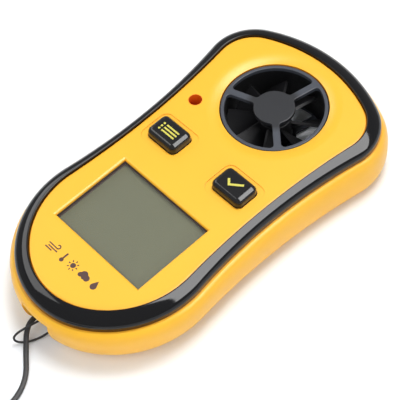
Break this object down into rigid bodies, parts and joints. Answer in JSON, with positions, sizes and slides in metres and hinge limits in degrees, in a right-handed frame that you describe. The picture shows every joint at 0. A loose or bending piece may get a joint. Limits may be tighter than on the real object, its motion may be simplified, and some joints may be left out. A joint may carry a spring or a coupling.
{
  "type": "handheld weather meter",
  "caption": "Pocket weather meter: waisted case with a trim ring, ducted wind impeller behind a three-spoke guard, display window, keys and a wrist cord.",
  "frame": {"origin": "middle of the case without its wrist cord, in the plane of its back, on which it lies", "axes": "+Z out of the face, +Y along the case from the lanyard end to the impeller end, +X to the reader's right"},
  "size_m": [0.0599, 0.1461, 0.02],
  "materials": {
    "yellow_abs": "satin moulded yellow ABS",
    "trim_black": "glossy black",
    "guard_grey": "matte dark grey",
    "rotor_black": "matte black",
    "bright_steel": "satin plated steel",
    "bearing_brass": "turned",
    "ferrite": "sintered ferrite",
    "chip_epoxy": "moulded epoxy",
    "ribbon_film": "amber film",
    "board_green": "solder resist",
    "clear_lens": "clear polished",
    "lcd_grey": "grey-green reflective film, satin",
    "foam_black": "foam and elastomer",
    "diffuser_white": "white diffuser",
    "key_black": "glossy black",
    "cell_steel": "nickel-plated",
    "holder_black": "glass-filled nylon",
    "cord_black": "braided nylon",
    "ferrule_steel": "pressed metal"
  },
  "bodies": {
    "case": {"rear_cover": "yellow_abs", "front_cover": "yellow_abs", "trim_ring": "trim_black", "front_guard": "guard_grey", "rear_guard": "guard_grey", "duct_housing": "rotor_black", "case_screws": "bright_steel", "board_screws": "bright_steel", "lanyard_pin": "bright_steel", "timing_crystal": "bright_steel", "front_bearing": "bearing_brass", "rear_bearing": "bearing_brass", "hall_sensor": "chip_epoxy", "controller_chip": "chip_epoxy", "mode_switch": "chip_epoxy", "set_switch": "chip_epoxy", "thermistor": "chip_epoxy", "sensor_ribbon": "ribbon_film", "circuit_board": "board_green", "lcd_lens": "clear_lens", "lcd_glass": "lcd_grey", "lcd_gasket": "foam_black", "elastomer_strips": "foam_black", "lcd_backlight": "diffuser_white", "coin_cell": "cell_steel", "positive_contact": "cell_steel", "negative_contact": "cell_steel", "battery_holder": "holder_black", "lanyard_cord": "cord_black", "lanyard_loop": "cord_black", "lanyard_eye": "cord_black", "lanyard_knot": "cord_black", "lanyard_coil": "cord_black", "lanyard_ferrule": "ferrule_steel"},
    "impeller": {"impeller": "rotor_black", "impeller_shaft": "bright_steel", "rotor_magnet": "ferrite"},
    "mode_key": {"mode_button": "key_black", "mode_plunger": "diffuser_white"},
    "set_key": {"set_button": "key_black", "set_plunger": "diffuser_white"},
    "battery_door": {"battery_door": "yellow_abs"}
  },
  "joints": [
    {"name": "impeller_spin", "type": "hinge", "parent": "case", "child": "impeller", "pos_m": [0, 0.02969, 0.0089], "axis": [0, 0, 1], "continuous": true},
    {"name": "mode_press", "type": "slide", "parent": "case", "child": "mode_key", "axis": [0, 0, -1], "range_m": [0, 0.0006], "stiffness_N_per_m": 600, "springref_m": -0.0004},
    {"name": "set_press", "type": "slide", "parent": "case", "child": "set_key", "axis": [0, 0, -1], "range_m": [0, 0.0006], "stiffness_N_per_m": 600, "springref_m": -0.0004},
    {"name": "battery_door_turn", "type": "hinge", "parent": "case", "child": "battery_door", "pos_m": [0, -0.021, 0], "axis": [0, 0, 1], "range_deg": [0, 45]}
  ]
}
